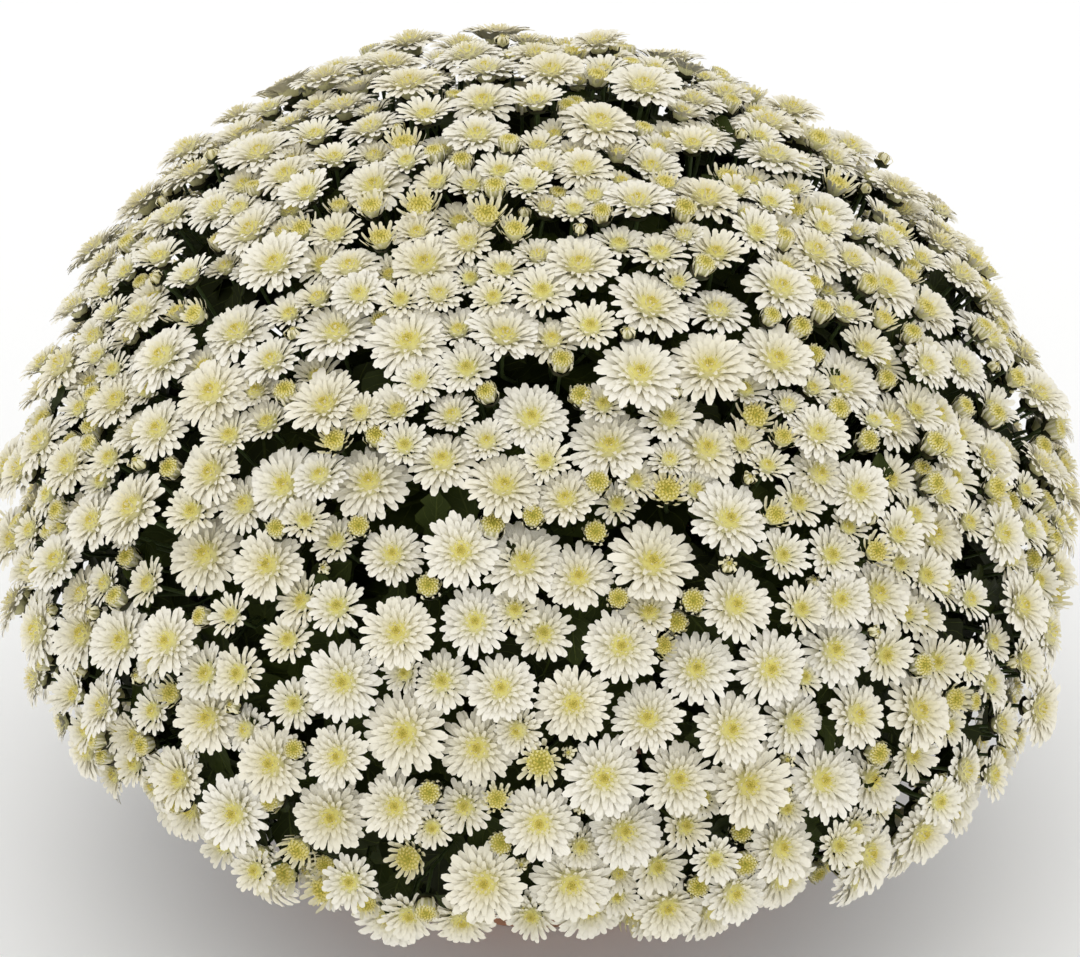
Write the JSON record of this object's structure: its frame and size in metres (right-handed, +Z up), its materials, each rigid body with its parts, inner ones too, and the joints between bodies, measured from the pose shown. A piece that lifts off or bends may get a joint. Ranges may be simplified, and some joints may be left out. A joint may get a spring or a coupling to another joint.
{
  "type": "pot chrysanthemum",
  "caption": "Rounded cushion of white double chrysanthemum blooms over dark lobed leaves, growing in a plain round pot with a flat base.",
  "frame": {"origin": "centre of the pot's flat base, on the surface it stands on", "axes": "+Z up along the pot's axis; -Y faces the viewer of the picture; +X to that viewer's right"},
  "size_m": [0.6193, 0.6085, 0.4969],
  "materials": {
    "petal": "matte",
    "leaf": "satin",
    "stem_wood": "matte",
    "pot": "matte",
    "compost": "matte"
  },
  "bodies": {
    "root": {"pot": "pot", "soil": "compost", "crown": "stem_wood", "leafy_stem_1": "leaf", "leafy_stem_2": "leaf", "leafy_stem_3": "leaf", "leafy_stem_4": "leaf", "leafy_stem_5": "leaf", "leafy_stem_6": "leaf", "leafy_stem_7": "leaf", "leafy_stem_8": "leaf", "spray_01": "petal", "spray_02": "petal", "spray_03": "petal", "spray_04": "petal", "spray_05": "petal", "spray_06": "petal", "spray_07": "petal", "spray_08": "petal", "spray_09": "petal", "spray_10": "petal", "spray_11": "petal", "spray_12": "petal", "spray_13": "petal", "spray_14": "petal", "spray_15": "petal", "spray_16": "petal", "spray_17": "petal", "spray_18": "petal", "spray_19": "petal", "spray_20": "petal", "spray_21": "petal", "spray_22": "petal", "spray_23": "petal", "spray_24": "petal", "spray_25": "petal", "spray_26": "petal", "spray_27": "petal", "spray_28": "petal", "spray_29": "petal", "spray_30": "petal", "spray_31": "petal", "spray_32": "petal", "spray_33": "petal", "spray_34": "petal", "spray_35": "petal", "spray_36": "petal", "spray_37": "petal", "spray_38": "petal", "spray_39": "petal", "spray_40": "petal", "spray_41": "petal", "spray_42": "petal", "spray_43": "petal", "spray_44": "petal"}
  },
  "joints": []
}
